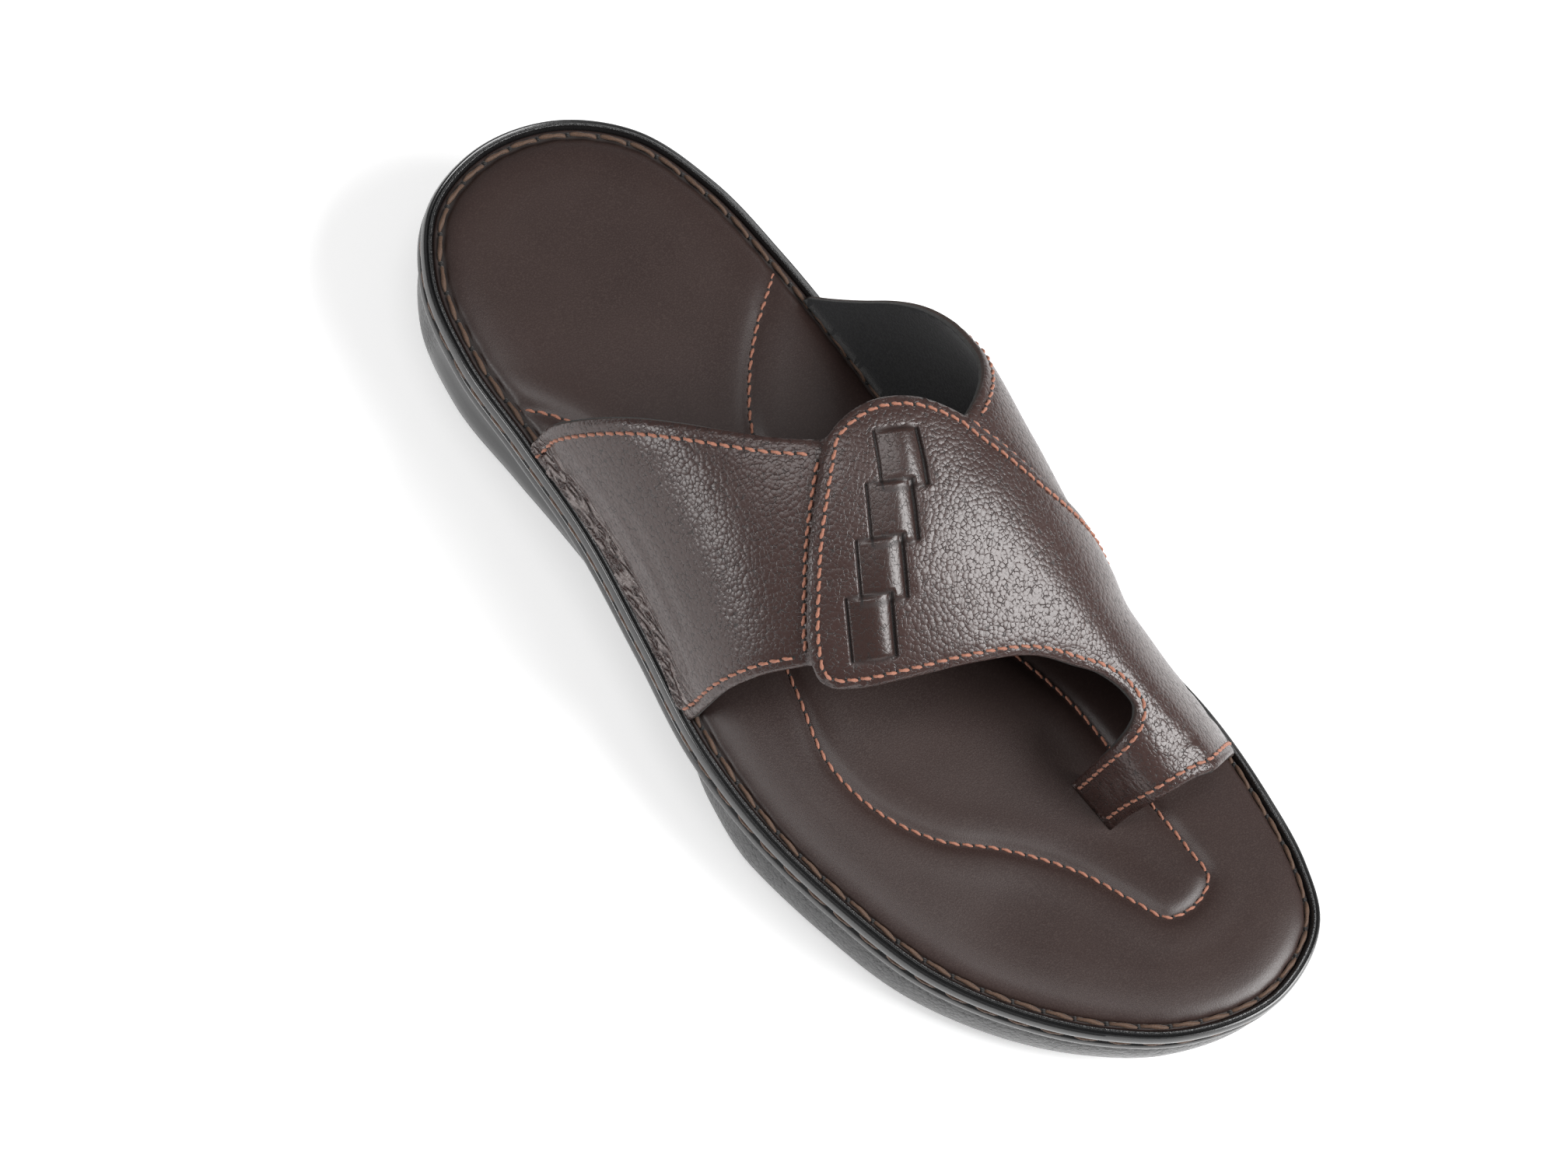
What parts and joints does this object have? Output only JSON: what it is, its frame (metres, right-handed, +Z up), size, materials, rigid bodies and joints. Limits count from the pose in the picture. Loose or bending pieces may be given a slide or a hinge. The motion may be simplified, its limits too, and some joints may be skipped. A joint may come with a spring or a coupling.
{
  "type": "chappal",
  "caption": "Right-foot toe-ring chappal: arched leather straps with a woven ladder over a padded footbed in a moulded wedge cup sole.",
  "frame": {"origin": "on the floor under the middle of the whole shoe's box", "axes": "+Y towards the toe, +X towards the outer side (little toe), +Z up"},
  "size_m": [0.1102, 0.281, 0.0899],
  "materials": {
    "outsole_rubber": "satin, fine leather grain on the lower wall",
    "footbed_leather": "smooth satin",
    "upper_leather": "semi-gloss pebble grain"
  },
  "bodies": {
    "root": {"outsole": "outsole_rubber", "footbed": "footbed_leather", "upper": "upper_leather"}
  },
  "joints": []
}
